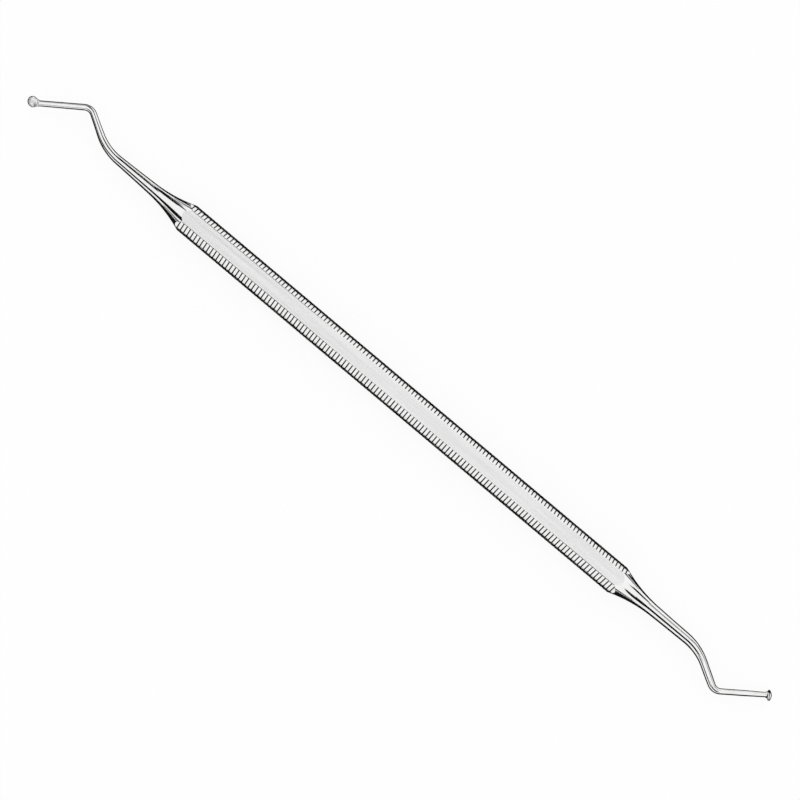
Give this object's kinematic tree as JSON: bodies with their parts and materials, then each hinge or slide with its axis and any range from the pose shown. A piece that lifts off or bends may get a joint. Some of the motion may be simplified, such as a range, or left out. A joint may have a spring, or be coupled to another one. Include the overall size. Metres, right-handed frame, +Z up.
{
  "type": "dental spoon excavator",
  "caption": "Double-ended dental spoon excavator: grooved hexagonal steel handle, contra-angle shanks and a small dished round spoon at each end.",
  "frame": {"origin": "middle of the handle on its axis", "axes": "+X along the handle, towards the end whose spoon is turned further from the bend plane, +Z up, square to the plain top flat; the shanks bend in the XY plane"},
  "size_m": [0.1701, 0.0087, 0.005],
  "materials": {
    "instrument_steel": "satin handle flats, polished flares, shanks and spoons"
  },
  "bodies": {
    "root": {"spoon_excavator": "instrument_steel"}
  },
  "joints": []
}
